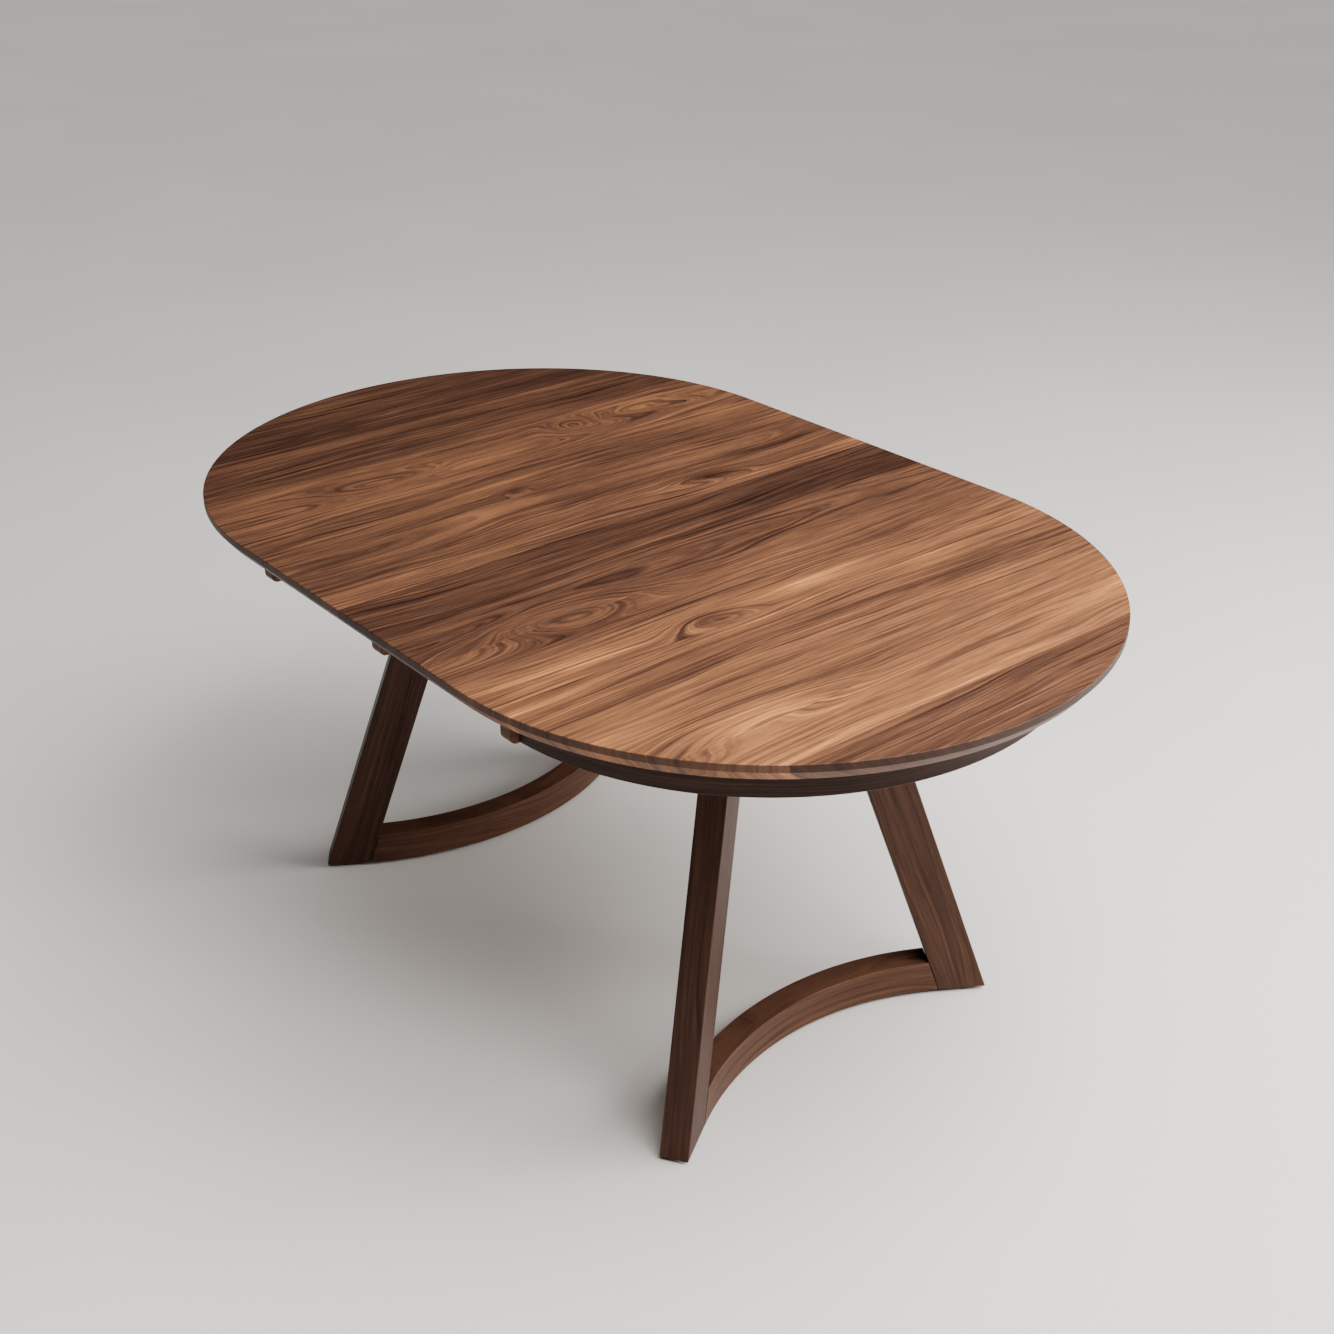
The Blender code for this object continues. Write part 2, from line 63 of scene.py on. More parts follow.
# ---- sizes read from the frame ------------------------------------------------------------------
TOP_Z = CAD_BOX[1][2]
LEAF_LOW, LEAF_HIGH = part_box("leaf_near")
UNDERSIDE_Z = LEAF_LOW.z
SEAM_GAP = 2 * LEAF_LOW.x
LEAF_WIDTH = LEAF_HIGH.x + LEAF_LOW.x
TOP_RADIUS = LEAF_HIGH.y

# ---- sizes that part.py shares with this script, in metres ---------------------------------------
EDGE_FLAT = 0.0110              # upright part of the top's edge; below it the edge is cut back
EDGE_UNDERCUT = 0.0125
LEG_RUN = (0.1886, 0.2973)      # how far a leg leans along and across the table for each metre down
STRETCHER_CENTRE_X = 0.8653     # where the stretchers' bends are centred, from the middle of the table

# ---- fine shape of the visible pieces ------------------------------------------------------------
ARRIS = 0.0013                  # radius of the rounded upper corner of the top's edge
ARRIS_STEPS = 4
ARC_STEPS = 180                 # straight pieces in the outline of a half-round end
SHARP_ANGLE = math.radians(32)  # faces that meet more steeply than this meet in a crisp edge
WELD = 2e-6                     # points of a CAD mesh closer than this are one point
FLAT_ANGLE = math.radians(0.5)  # CAD faces that meet less steeply than this are one flat face
FLOOR_HALF_SIZE = 30.0

# Boards of each panel from the middle of the table outwards: (width, tone, figure, seed).
# Tone runs from 0, dark heartwood, to 1, pale wood; figure from 0, straight grain, to 1, flat-sawn.
LEAF_NEAR_BOARDS = [(0.118, 0.26, 0.35, 0.13), (0.104, 0.38, 1.0, 0.71), (0.090, 0.50, 0.0, 0.37)]
LEAF_FAR_BOARDS = [(0.176, 0.46, 0.7, 0.59), (0.130, 0.42, 0.5, 0.23)]
HALF_NEAR_BOARDS = [
    (0.075, 0.60, 0.4, 0.83), (0.145, 0.56, 0.0, 0.47), (0.090, 0.64, 0.0, 0.05),
    (0.090, 0.72, 0.4, 0.91), (0.120, 0.44, 0.2, 0.29),
]
# The far half's tones: partly darker wood, partly painted shade where light falls off at the far end.
HALF_FAR_BOARDS = [
    (0.153, 0.48, 1.0, 0.67), (0.140, 0.33, 0.2, 0.41), (0.110, 0.25, 0.5, 0.97), (0.120, 0.31, 0.2, 0.17),
]
# Knots, eyes, pale streaks and dark streaks in the top:
# (x, y, half width, half length, how far rings swell round it, how much lighter its heart is).
FIGURES = [
    (-0.063, 0.150, 0.012, 0.030, 0.030, -0.30), (-0.197, -0.044, 0.010, 0.026, 0.024, -0.22),
    (0.344, -0.149, 0.016, 0.050, 0.036, -0.22), (-0.392, 0.145, 0.020, 0.060, 0.060, 0.08),
    (-0.380, 0.375, 0.014, 0.040, 0.040, 0.06), (-0.385, -0.330, 0.018, 0.060, 0.045, -0.05),
    (0.208, -0.290, 0.026, 0.090, 0.070, 0.00), (0.345, 0.060, 0.014, 0.110, 0.010, 0.28),
    (0.335, -0.390, 0.018, 0.130, 0.012, 0.32), (0.588, -0.290, 0.024, 0.090, 0.040, 0.20),
    (0.455, -0.240, 0.012, 0.160, 0.000, -0.16), (-0.318, -0.280, 0.014, 0.200, 0.000, 0.12),
    (-0.262, -0.300, 0.024, 0.220, 0.000, -0.14), (0.055, 0.330, 0.060, 0.220, 0.000, -0.12),
    (-0.028, 0.000, 0.022, 1.200, 0.000, 0.12), (-0.095, 0.000, 0.028, 0.900, 0.000, -0.10),
    (0.395, 0.050, 0.016, 0.900, 0.000, 0.11), (0.452, 0.120, 0.022, 0.600, 0.000, -0.16),
    (0.205, 0.050, 0.018, 0.500, 0.000, -0.06), (0.030, -0.100, 0.020, 0.500, 0.000, 0.08),
]


# ---- node graphs --------------------------------------------------------------------------------
class Graph:
    """A material's node tree, with short calls for the nodes used here."""

    def __init__(self, name):
        self.material = bpy.data.materials.new(name)
        self.material.use_nodes = True
        self.tree = self.material.node_tree
        self.shader = self.tree.nodes["Principled BSDF"]

    def feed(self, socket, value):
        """Link another node's output to a socket, or set a plain value on it."""
        if isinstance(value, bpy.types.NodeSocket):
            self.tree.links.new(value, socket)
        else:
            socket.default_value = value

    def node(self, kind, **settings):
        made = self.tree.nodes.new(kind)
        for key, value in settings.items():
            setattr(made, key, value)
        return made

    def math(self, operation, a, b=0.0):
        made = self.node("ShaderNodeMath", operation=operation)
        for socket, value in zip(made.inputs, (a, b)):
            self.feed(socket, value)
        return made.outputs[0]

    def vector(self, operation, a, b=(0.0, 0.0, 0.0)):
        made = self.node("ShaderNodeVectorMath", operation=operation)
        self.feed(made.inputs[0], a)
        if operation == "SCALE":
            self.feed(made.inputs["Scale"], b)
        else:
            self.feed(made.inputs[1], b)
        return made.outputs["Value" if operation == "LENGTH" else "Vector"]

    def attribute(self, name, output="Vector"):
        return self.node("ShaderNodeAttribute", attribute_name=name).outputs[output]

    def split(self, vector):
        made = self.node("ShaderNodeSeparateXYZ")
        self.feed(made.inputs[0], vector)
        return made.outputs

    def join(self, x, y, z):
        made = self.node("ShaderNodeCombineXYZ")
        for socket, value in zip(made.inputs, (x, y, z)):
            self.feed(socket, value)
        return made.outputs[0]

    def noise(self, vector, scale, detail=3.0, roughness=0.5, distortion=0.0):
        """Noise of a vector stretched by a scale for each axis, about 0 to 1."""
        made = self.node("ShaderNodeTexNoise")
        self.feed(made.inputs["Vector"], self.vector("MULTIPLY", vector, scale))
        made.inputs["Scale"].default_value = 1.0
        made.inputs["Detail"].default_value = detail
        made.inputs["Roughness"].default_value = roughness
        made.inputs["Distortion"].default_value = distortion
        return made.outputs["Fac"]

    def spread(self, value, from_low, from_high, to_low=0.0, to_high=1.0, smooth=False):
        """A value's range mapped onto another range, and held at its ends."""
        made = self.node("ShaderNodeMapRange", interpolation_type="SMOOTHSTEP" if smooth else "LINEAR")
        for socket, number in zip(made.inputs, (value, from_low, from_high, to_low, to_high)):
            self.feed(socket, number)
        return made.outputs[0]

    def ramp(self, value, stops):
        made = self.node("ShaderNodeValToRGB")
        elements = made.color_ramp.elements
        while len(elements) < len(stops):
            elements.new(0.5)
        for element, (place, colour) in zip(elements, stops):
            element.position = place
            element.color = linear(colour)
        self.feed(made.inputs[0], value)
        return made.outputs[0]

    def bump(self, height, strength, distance):
        """Raise the surface by a height from 0 to 1 times a distance in metres."""
        made = self.node("ShaderNodeBump")
        made.inputs["Strength"].default_value = strength
        made.inputs["Distance"].default_value = distance
        self.feed(made.inputs["Height"], height)
        self.feed(self.shader.inputs["Normal"], made.outputs[0])


def linear(colour):
    """sRGB numbers from 0 to 255 as a linear colour."""
    values = []
    for channel in colour:
        c = channel / 255
        values.append(c / 12.92 if c <= 0.04045 else ((c + 0.055) / 1.055) ** 2.4)
    return (*values, 1.0)


# Walnut from its darkest streaks to its palest sapwood.
WALNUT_STOPS = [
    (0.00, (40, 22, 15)), (0.22, (62, 40, 31)), (0.42, (87, 58, 43)),
    (0.62, (118, 79, 55)), (0.82, (154, 101, 63)), (1.00, (200, 135, 77)),
]


def figures_of(graph, place):
    """How far the growth rings swell at a point of the top, and how much lighter the wood is there."""
    swell = 0.0
    tint = 0.0
    for x, y, half_width, half_length, reach, tone in FIGURES:
        away = graph.vector("SUBTRACT", place, (x, y, TOP_Z))
        away = graph.vector("MULTIPLY", away, (1 / half_width, 1 / half_length, 0.0))
        distance = graph.vector("LENGTH", away)
        if reach:
            near = graph.spread(distance, 0.0, 2.6, reach, 0.0, smooth=True)
            swell = graph.math("ADD", near, swell)
        if tone:
            tint = graph.math("ADD", graph.spread(distance, 0.1, 1.5, tone, 0.0, smooth=True), tint)
    return swell, tint


def walnut(name, lift=0.0, contrast=1.0, oil_and_shade_depth=0.30, specular=0.17, in_top=False):
    """Oiled walnut: growth rings, colour bands, fibre streaks and open pores along each board's grain.
    Lift is added to every board's tone, and the marked faces are drawn darker by the given depth:
    oiled end grain on the members, and painted shade on the whole edge of the top."""
    graph = Graph(name)
    grain = graph.attribute("grain")
    oil_and_shade = graph.attribute("oil_and_shade", "Fac")
    seed, tone, figure = graph.split(graph.attribute("board"))
    along, across, depth = graph.split(grain)
    offset = graph.vector("SCALE", (11.3, 7.1, 5.9), seed)
    place = graph.vector("ADD", grain, offset)

    # The growth rings' radius at this point, for a board sawn beside the tree's heart.
    wander = graph.math("SUBTRACT", graph.noise(place, (1.6, 7.0, 7.0), 2.0), 0.5)
    wander = graph.math("MULTIPLY", wander, graph.spread(figure, 0.0, 1.0, 0.5, 1.0))
    ripple = graph.math("SUBTRACT", graph.noise(place, (6.0, 30.0, 30.0), 2.0), 0.5)
    ripple = graph.math("MULTIPLY", ripple, graph.spread(figure, 0.0, 1.0, 0.003, 0.012))
    across = graph.math("ADD", across, graph.math("MULTIPLY", wander, 0.11))
    across = graph.math("ADD", across, ripple)
    sideways = graph.math("MULTIPLY", graph.math("SUBTRACT", 1.0, figure), 0.20)
    across = graph.math("ADD", across, sideways)
    lean = graph.math("MULTIPLY", graph.math("SUBTRACT", seed, 0.45), 0.13)
    pith = graph.math("ADD", graph.math("MULTIPLY", along, lean), 0.026)
    deep = graph.math("ADD", graph.math("ADD", depth, pith), graph.math("MULTIPLY", wander, 0.03))
    radius = graph.vector("LENGTH", graph.join(across, deep, 0.0))
    tint = 0.0
    if in_top:
        rest = graph.node("ShaderNodeTexCoord").outputs["Object"]
        strayed = graph.join(graph.math("MULTIPLY", wander, 0.09), graph.math("MULTIPLY", wander, 0.5), 0.0)
        swell, tint = figures_of(graph, graph.vector("ADD", rest, strayed))
        radius = graph.math("ADD", radius, swell)
    year = graph.noise(graph.join(radius, seed, 0.0), (60.0, 9.0, 0.0), 1.0)
    turns = graph.math("ADD", graph.math("MULTIPLY", radius, 140.0), graph.math("MULTIPLY", year, 3.0))
    rings = graph.spread(graph.math("FRACT", turns), 0.45, 1.0, smooth=True)
    strength = graph.spread(graph.noise(place, (3.0, 22.0, 22.0), 2.0), 0.35, 0.65)
    rings = graph.math("MULTIPLY", rings, strength)

    # Streaks keep to the rings' layers, so they bend round the figures with them.
    flow = graph.join(along, radius, graph.math("MULTIPLY", seed, 13.0))
    bands = graph.noise(flow, (1.5, 14.0, 1.0), 3.0, 0.55, 0.3)
    streaks = graph.noise(flow, (3.2, 130.0, 1.0), 4.0, 0.65)
    dark_lines = graph.noise(graph.vector("ADD", flow, (2.3, 0.7, 0.9)), (3.6, 165.0, 1.0), 3.0)
    dark_lines = graph.spread(dark_lines, 0.53, 0.68)
    pale_lines = graph.noise(graph.vector("ADD", flow, (3.7, 1.9, 0.3)), (2.6, 120.0, 1.0), 3.0)
    pale_lines = graph.spread(pale_lines, 0.56, 0.72)
    clouds = graph.noise(place, (4.0, 18.0, 18.0), 2.0)
    fine_lines = graph.noise(graph.vector("ADD", flow, (5.1, 4.3, 0.1)), (2.6, 320.0, 1.0), 2.0)
    fine_lines = graph.spread(fine_lines, 0.52, 0.64)
    fibre = graph.noise(place, (16.0, 420.0, 420.0), 3.0, 0.65)
    pores = graph.spread(graph.noise(place, (45.0, 1300.0, 1300.0), 2.0, 0.5), 0.58, 0.68)

    # Each pattern with its middle value and its weight in the colour.
    parts = [
        (bands, 0.5, 0.40), (streaks, 0.5, 0.68), (fibre, 0.5, 0.55), (clouds, 0.5, 0.22),
        (rings, 0.0, -0.20), (dark_lines, 0.0, -0.22), (pale_lines, 0.0, 0.17), (pores, 0.0, -0.09),
        (fine_lines, 0.0, -0.13),
    ]
    colour = 0.0
    for value, middle, weight in parts:
        part = graph.math("MULTIPLY", graph.math("SUBTRACT", value, middle), weight * contrast)
        colour = graph.math("ADD", part, colour)
    # Marked faces are drawn darker and plainer: oiled end grain, and painted shade on the whole edge of the
    # top.
    colour = graph.math("MULTIPLY", colour, graph.spread(oil_and_shade, 0.35, 0.90, 1.0, 0.45))
    colour = graph.math("ADD", graph.math("ADD", colour, 0.06), tint)
    colour = graph.math("ADD", colour, graph.math("ADD", tone, lift))
    colour = graph.math("SUBTRACT", colour, graph.spread(oil_and_shade, 0.35, 0.90, 0.0, oil_and_shade_depth))
    graph.feed(graph.shader.inputs["Base Color"], graph.ramp(colour, WALNUT_STOPS))
    graph.shader.inputs["Specular IOR Level"].default_value = specular
    gloss = graph.math("ADD", 0.40, graph.math("MULTIPLY", streaks, 0.12))
    gloss = graph.math("ADD", gloss, graph.math("MULTIPLY", pores, 0.15))
    graph.feed(graph.shader.inputs["Roughness"], gloss)
    height = graph.math("SUBTRACT", graph.math("MULTIPLY", fibre, 0.3), pores)
    graph.bump(height, 0.25, 0.0004)
    return graph.material


def beech(name):
    """Waxed beech: pale, nearly even, with short dark flecks."""
    graph = Graph(name)
    grain = graph.attribute("grain")
    seed = graph.split(graph.attribute("board"))[0]
    place = graph.vector("ADD", grain, graph.vector("SCALE", (9.1, 4.3, 6.7), seed))
    bands = graph.noise(place, (1.0, 60.0, 60.0), 3.0)
    flecks = graph.spread(graph.noise(place, (160.0, 900.0, 900.0), 1.0), 0.62, 0.70)
    value = graph.math("SUBTRACT", bands, graph.math("MULTIPLY", flecks, 0.35))
    stops = [(0.2, (150, 110, 76)), (0.5, (190, 150, 110)), (0.8, (210, 174, 134))]
    graph.feed(graph.shader.inputs["Base Color"], graph.ramp(value, stops))
    graph.feed(graph.shader.inputs["Roughness"], graph.spread(bands, 0.2, 0.8, 0.42, 0.58))
    graph.bump(flecks, 0.2, 0.0002)
    return graph.material


def zinc(name):
    """Zinc-plated steel: fine turning marks and faint yellow passivation."""
    graph = Graph(name)
    place = graph.node("ShaderNodeTexCoord").outputs["Object"]
    clouds = graph.noise(place, (220.0, 220.0, 220.0), 3.0)
    stops = [(0.3, (150, 148, 140)), (0.7, (186, 186, 188))]
    graph.feed(graph.shader.inputs["Base Color"], graph.ramp(clouds, stops))
    graph.shader.inputs["Metallic"].default_value = 1.0
    graph.feed(graph.shader.inputs["Roughness"], graph.spread(clouds, 0.2, 0.8, 0.28, 0.45))
    graph.bump(graph.noise(place, (60.0, 60.0, 2400.0), 1.0), 0.15, 0.0001)
    return graph.material


def glider_plastic(name):
    """Matt black plastic with a fine moulded grain and faint dusty clouds."""
    graph = Graph(name)
    place = graph.node("ShaderNodeTexCoord").outputs["Object"]
    grain = graph.noise(place, (1800.0, 1800.0, 1800.0), 2.0)
    dust = graph.noise(place, (120.0, 120.0, 120.0), 3.0)
    stops = [(0.35, (18, 18, 19)), (0.75, (46, 44, 42))]
    graph.feed(graph.shader.inputs["Base Color"], graph.ramp(dust, stops))
    graph.feed(graph.shader.inputs["Roughness"], graph.spread(grain, 0.2, 0.8, 0.45, 0.65))
    graph.bump(grain, 0.3, 0.0002)
    return graph.material


def studio_floor(name):
    """Pale trowelled floor, nearly even."""
    graph = Graph(name)
    place = graph.node("ShaderNodeTexCoord").outputs["Object"]
    clouds = graph.noise(place, (0.9, 0.9, 0.9), 4.0)
    stops = [(0.3, (226, 222, 217)), (0.7, (232, 228, 223))]
    graph.feed(graph.shader.inputs["Base Color"], graph.ramp(clouds, stops))
    graph.shader.inputs["Roughness"].default_value = 0.6
    graph.shader.inputs["Specular IOR Level"].default_value = 0.15
    return graph.material


# ---- grain coordinates --------------------------------------------------------------------------
def lay_grain(mesh, place_of, darkening_of, board_of):
    """Give each face corner its place in its board (along, across and into it, in metres), the board's
    seed, tone and figure, and how much the face is darkened: oiled end grain, and painted shade on
    the top's edge."""
    kinds = {"grain": "FLOAT_VECTOR", "board": "FLOAT_VECTOR", "oil_and_shade": "FLOAT"}
    for title, kind in kinds.items():
        mesh.attributes.new(title, kind, "CORNER")
    grain, board, oil_and_shade = (mesh.attributes[title].data for title in kinds)
    for polygon in mesh.polygons:
        look, centre = board_of(polygon.center)
        darkening = darkening_of(polygon)
        for loop in polygon.loop_indices:
            vertex = mesh.vertices[mesh.loops[loop].vertex_index].co
            grain[loop].vector = place_of(vertex, centre)
            board[loop].vector = look
            oil_and_shade[loop].value = darkening


# ---- pieces -------------------------------------------------------------------------------------
def publish(mesh, name, body, stands_for, slot, material):
    """Show a mesh on a body in place of a CAD node."""
    obj = bpy.data.objects.new(name, mesh)
    bpy.context.scene.collection.objects.link(obj)
    mesh.materials.clear()
    mesh.materials.append(material)
    mesh.shade_smooth()
    mesh.set_sharp_from_angle(angle=SHARP_ANGLE)
    flatten = obj.modifiers.new("flat_faces", "WEIGHTED_NORMAL")
    flatten.keep_sharp = True
    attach(obj, body)
    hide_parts(stands_for)


def stacked(levels):
    """A closed mesh through loops of the same number of points, top loop first."""
    work = bmesh.new()
    rows = [[work.verts.new(point) for point in level] for level in levels]
    count = len(rows[0])
    for upper, lower in zip(rows, rows[1:]):
        for i in range(count):
            j = (i + 1) % count
            work.faces.new((upper[i], lower[i], lower[j], upper[j]))
    work.faces.new(rows[0])
    work.faces.new(rows[-1][::-1])
    bmesh.ops.recalc_face_normals(work, faces=work.faces)
    return work


def edge_levels():
    """(inset, z) down the edge of the top: rounded arris, upright part, cut-back part, soft corner."""
    levels = []
    for step in range(ARRIS_STEPS + 1):
        angle = math.pi / 2 * step / ARRIS_STEPS
        levels.append((ARRIS * (1 - math.sin(angle)), TOP_Z - ARRIS * (1 - math.cos(angle))))
    flat_end = TOP_Z - EDGE_FLAT
    levels += [(0.0, flat_end + 0.0007), (0.0003, flat_end - 0.0001)]
    levels += [(EDGE_UNDERCUT - 0.0006, UNDERSIDE_Z + 0.0006), (EDGE_UNDERCUT + 0.0004, UNDERSIDE_Z)]
    return levels


def seam_insets(count):
    """How far each level of the edge keeps back from a seam: a fine arris at the top, none below."""
    arris = [0.0006, 0.00025]
    return arris + [0.0] * (count - len(arris))


def half_top_levels(end):
    """Outlines of a half top, one for each level of its edge."""
    levels = []
    profile = edge_levels()
    for (inset, z), back in zip(profile, seam_insets(len(profile))):
        radius = TOP_RADIUS - inset
        seam = LEAF_WIDTH + SEAM_GAP / 2 + back
        start = math.acos((seam - LEAF_WIDTH) / radius)
        points = []
        for step in range(ARC_STEPS + 1):
            angle = -start + 2 * start * step / ARC_STEPS
            points.append((end * (LEAF_WIDTH + radius * math.cos(angle)), radius * math.sin(angle), z))
        levels.append(points)
    return levels


def leaf_levels(end):
    """Outlines of a leaf, one for each level of its edge."""
    levels = []
    profile = edge_levels()
    for (inset, z), back in zip(profile, seam_insets(len(profile))):
        inner = SEAM_GAP / 2 + back
        outer = LEAF_WIDTH - SEAM_GAP / 2 - back
        reach = TOP_RADIUS - inset
        corners = [(inner, -reach), (outer, -reach), (outer, reach), (inner, reach)]
        levels.append([(end * x, y, z) for x, y in corners])
    return levels


def board_panel(name, body, node, slot, levels, end, start, boards, material):
    """A glued-up panel of the top; its boards run across the table."""
    work = stacked(levels)
    edge = start
    spans = []
    for width, tone, figure, seed in boards:
        spans.append((edge, edge + width, (seed, tone, figure)))
        edge += width
    for low, _, _ in spans[1:]:
        geometry = work.verts[:] + work.edges[:] + work.faces[:]
        joint = (end * low, 0, 0)
        bmesh.ops.bisect_plane(work, geom=geometry, dist=1e-6, plane_co=joint, plane_no=(1, 0, 0))
    mesh = bpy.data.meshes.new(name)
    work.to_mesh(mesh)
    work.free()

    def board_of(centre):
        reach = abs(centre.x)
        for low, high, look in spans:
            if reach <= high:
                break
        return look, end * (low + high) / 2

    def place_of(vertex, centre):
        return (vertex.y, vertex.x - centre, vertex.z - TOP_Z)

    # The whole edge of the top is darkened: painted shade, and oiled end grain where the boards end.
    lay_grain(mesh, place_of, lambda face: 1 - abs(face.normal.z), board_of)
    publish(mesh, name, body, node, slot, material)


def copy_of(node):
    """A node's mesh, copied and welded, to be dressed as a visible piece."""
    source = frame["nodes"][node].data
    mesh = source.copy()
    mesh.name = node + "_piece"
    work = bmesh.new()
    work.from_mesh(mesh)
    bmesh.ops.remove_doubles(work, verts=work.verts, dist=WELD)
    bmesh.ops.dissolve_limit(work, angle_limit=FLAT_ANGLE, verts=work.verts, edges=work.edges)
    work.to_mesh(mesh)
    work.free()
    return mesh


def straight_piece(node, body, slot, material, along, look):
    """A straight member whose grain runs along a direction."""
    mesh = copy_of(node)
    along = Vector(along).normalized()
    upright = Vector((0, 0, 1)) if abs(along.z) < 0.9 else Vector((0, 1, 0))
    across = along.cross(upright).normalized()
    deep = across.cross(along)
    low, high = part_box(node)
    middle = (low + high) / 2

    def place_of(vertex, centre):
        offset = vertex - middle
        return (offset.dot(along), offset.dot(deep), offset.dot(across))

    lay_grain(mesh, place_of, lambda face: abs(face.normal.dot(along)), lambda point: (look, 0.0))
    publish(mesh, node + "_piece", body, node, slot, material)


def bent_piece(node, body, slot, material, centre_x, look):
    """A member bent about an upright axis on the table's middle line: its grain follows the bend."""
    mesh = copy_of(node)
    low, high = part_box(node)
    middle_z = (low.z + high.z) / 2
    inward = -1 if centre_x > (low.x + high.x) / 2 else 1
    reach = max(abs(low.x - centre_x), abs(high.x - centre_x))

    def place_of(vertex, centre):
        offset = Vector((vertex.x - centre_x, vertex.y))
        angle = math.atan2(offset.y, inward * offset.x)
        return (angle * reach, vertex.z - middle_z, offset.length - reach)

    def darkening_of(face):
        run = Vector((-face.center.y, face.center.x - centre_x, 0)).normalized()
        return abs(face.normal.dot(run))

    lay_grain(mesh, place_of, darkening_of, lambda point: (look, 0.0))
    publish(mesh, node + "_piece", body, node, slot, material)


# ---- studio -------------------------------------------------------------------------------------
def turned_camera(target, azimuth, elevation, roll, distance, lens):
    """A camera that looks at a target from a distance, at angles in degrees."""
    azimuth, elevation, roll = (math.radians(a) for a in (azimuth, elevation, roll))
    level = math.cos(elevation)
    back = Vector((math.sin(azimuth) * level, -math.cos(azimuth) * level, math.sin(elevation)))
    right = Vector((math.cos(azimuth), math.sin(azimuth), 0))
    up = back.cross(right)
    turned_right = right * math.cos(roll) + up * math.sin(roll)
    turned_up = up * math.cos(roll) - right * math.sin(roll)
    data = bpy.data.cameras.new("camera")
    data.lens = lens
    data.sensor_width = 36.0
    camera = bpy.data.objects.new("camera", data)
    matrix = Matrix((turned_right, turned_up, back)).transposed().to_4x4()
    matrix.translation = Vector(target) + back * distance
    camera.matrix_world = matrix
    bpy.context.scene.collection.objects.link(camera)
    bpy.context.scene.camera = camera


def area_light(name, place, target, size, power, colour):
    data = bpy.data.lights.new(name, "AREA")
    data.shape = "RECTANGLE"
    data.size, data.size_y = size
    data.energy = power
    data.color = colour
    light = bpy.data.objects.new(name, data)
    light.location = place
    light.rotation_euler = (Vector(target) - Vector(place)).to_track_quat("-Z", "Y").to_euler()
    bpy.context.scene.collection.objects.link(light)


def studio():
    """Pale floor, a plain backdrop that only the camera sees, and three soft lights."""
    work = bmesh.new()
    bmesh.ops.create_grid(work, x_segments=4, y_segments=4, size=FLOOR_HALF_SIZE)
    mesh = bpy.data.meshes.new("floor")
    work.to_mesh(mesh)
    work.free()
    floor = bpy.data.objects.new("floor", mesh)
    mesh.materials.append(studio_floor("studio_floor"))
    bpy.context.scene.collection.objects.link(floor)
    world = bpy.data.worlds.new("studio")
    world.use_nodes = True
    background = world.node_tree.nodes["Background"]
    background.inputs["Color"].default_value = (0.98, 0.99, 1.0, 1.0)
    background.inputs["Strength"].default_value = 0.50
    bpy.context.scene.world = world
    world.cycles_visibility.diffuse = False
    world.cycles_visibility.glossy = False
    area_light("overhead", place=(2.0, 0.5, 3.3), target=(1.3, 0.1, 0.0), size=(3.0, 3.0), power=240.0,
               colour=(1.0, 0.985, 0.965))
    area_light("window", place=(2.5, 2.9, 1.5), target=(0.3, 0.0, 0.45), size=(2.4, 1.6), power=175.0,
               colour=(1.0, 0.98, 0.955))
    ceiling = bpy.data.lights.new("ceiling", "SUN")
    ceiling.energy = 2.4
    ceiling.angle = math.radians(80)
    ceiling.color = (0.98, 0.99, 1.0)
    ceiling_light = bpy.data.objects.new("ceiling", ceiling)
    ceiling_light.rotation_euler = (math.radians(-12), math.radians(10), 0.0)
    ceiling_light.visible_glossy = False
    bpy.context.scene.collection.objects.link(ceiling_light)


# ---- assembly -----------------------------------------------------------------------------------
turned_camera(target=(0.4182, -0.2685, 0.75), azimuth=51.03, elevation=27.70, roll=-0.42,
              distance=2.1943, lens=46.42)
studio()

TOP_WOOD = walnut("walnut_boards", in_top=True)
BASE_WOOD = walnut("walnut_members", lift=-0.13, contrast=0.55, oil_and_shade_depth=0.20, specular=0.12)
FRAME_WOOD = walnut("walnut_frame", lift=-0.06, contrast=0.6, oil_and_shade_depth=0.0, specular=0.10)
SLIDE_WOOD = beech("beech_slides")
STEEL = zinc("zinc_steel")
PLASTIC = glider_plastic("glider_plastic")

board_panel("near_half_boards", "near_base", "top_half_near", "walnut_top", half_top_levels(1), 1,
            LEAF_WIDTH, HALF_NEAR_BOARDS, TOP_WOOD)
board_panel("far_half_boards", "far_base", "top_half_far", "walnut_top", half_top_levels(-1), -1,
            LEAF_WIDTH, HALF_FAR_BOARDS, TOP_WOOD)
board_panel("near_leaf_boards", "near_leaf", "leaf_near", "walnut_leaf", leaf_levels(1), 1, 0.0,
            LEAF_NEAR_BOARDS, TOP_WOOD)
board_panel("far_leaf_boards", "far_leaf", "leaf_far", "walnut_leaf", leaf_levels(-1), -1, 0.0,
            LEAF_FAR_BOARDS, TOP_WOOD)

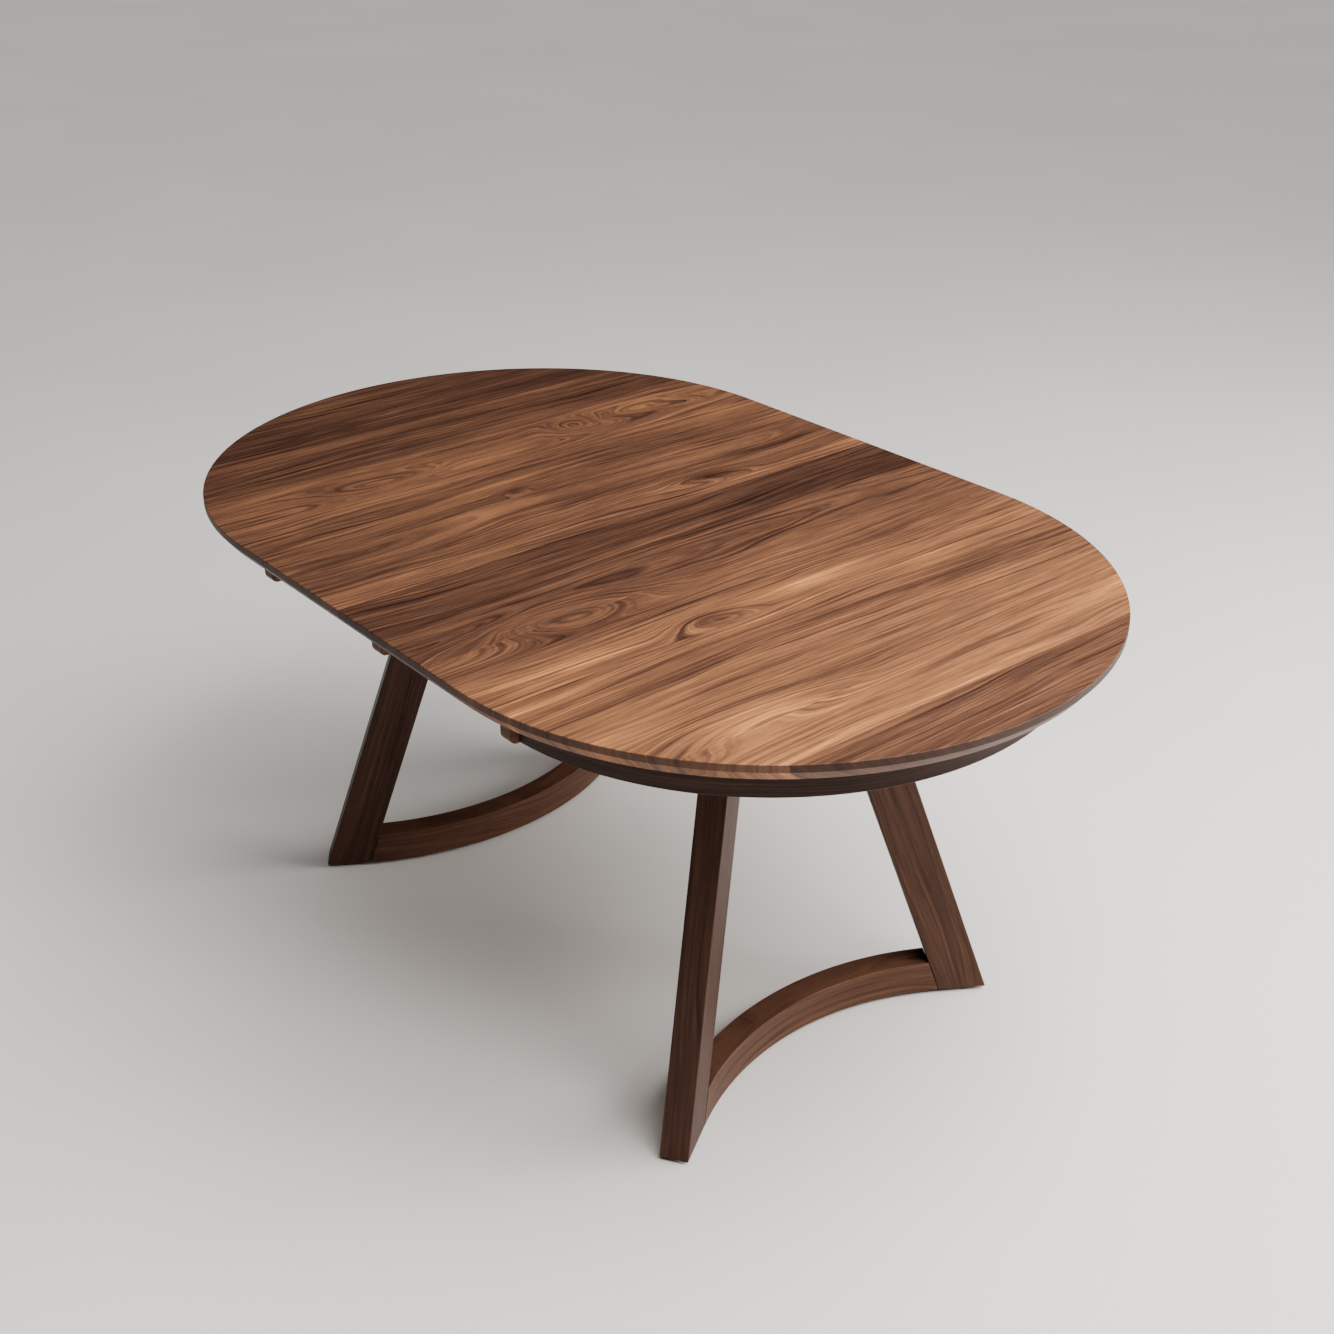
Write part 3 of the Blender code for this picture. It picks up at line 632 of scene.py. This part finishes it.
BODY_OF = {}
for body_name, members in frame["record"]["behaviour"]["bodies"].items():
    for member in members:
        BODY_OF[member] = body_name

# Every look is (seed, tone, figure), as in the board lists.
for order, (end_name, end) in enumerate((("near", 1), ("far", -1))):
    for side_name, side in (("left", -1), ("right", 1)):
        leg = "leg_%s_%s" % (end_name, side_name)
        lean = Vector((end * LEG_RUN[0], side * LEG_RUN[1], -1.0))
        look = (0.21 + 0.31 * order + 0.13 * side, 0.37 + 0.05 * side, 0.35)
        straight_piece(leg, BODY_OF[leg], "walnut_base", BASE_WOOD, lean, look)
    stretcher = "stretcher_" + end_name
    look = (0.33 + 0.3 * order, 0.47, 0.3)
    bent_piece(stretcher, BODY_OF[stretcher], "walnut_base", BASE_WOOD, end * STRETCHER_CENTRE_X, look)
    apron = "apron_" + end_name
    look = (0.53 + 0.2 * order, 0.16, 0.1)
    bent_piece(apron, BODY_OF[apron], "walnut_base", BASE_WOOD, end * LEAF_WIDTH, look)

# The plainer wooden members: start of the node's name, slot, material, grain direction, tone, figure.
MEMBERS = [
    ("cross_rail", "walnut_frame", FRAME_WOOD, (0, 1, 0), 0.42, 0.1),
    ("head_block", "walnut_frame", FRAME_WOOD, (0, 1, 0), 0.46, 0.6),
    ("leaf_batten", "walnut_frame", FRAME_WOOD, (1, 0, 0), 0.50, 0.3),
    ("slide_runner", "beech_slide", SLIDE_WOOD, (1, 0, 0), 0.5, 0.1),
    ("stop_peg", "beech_slide", SLIDE_WOOD, (0, 0, 1), 0.5, 0.1),
]
# CAD solids that are shown as they are, and their material.
SHOWN_AS_BUILT = [("top_bolt", STEEL), ("leg_bolt", STEEL), ("glider", PLASTIC)]

for node in sorted(frame["nodes"]):
    seed = (sum(ord(letter) for letter in node) % 97) / 97
    for start, slot, material, along, tone, figure in MEMBERS:
        if node.startswith(start):
            straight_piece(node, BODY_OF[node], slot, material, along, (seed, tone, figure))
    for start, material in SHOWN_AS_BUILT:
        if node.startswith(start):
            solid = frame["nodes"][node].data
            solid.materials.clear()
            solid.materials.append(material)
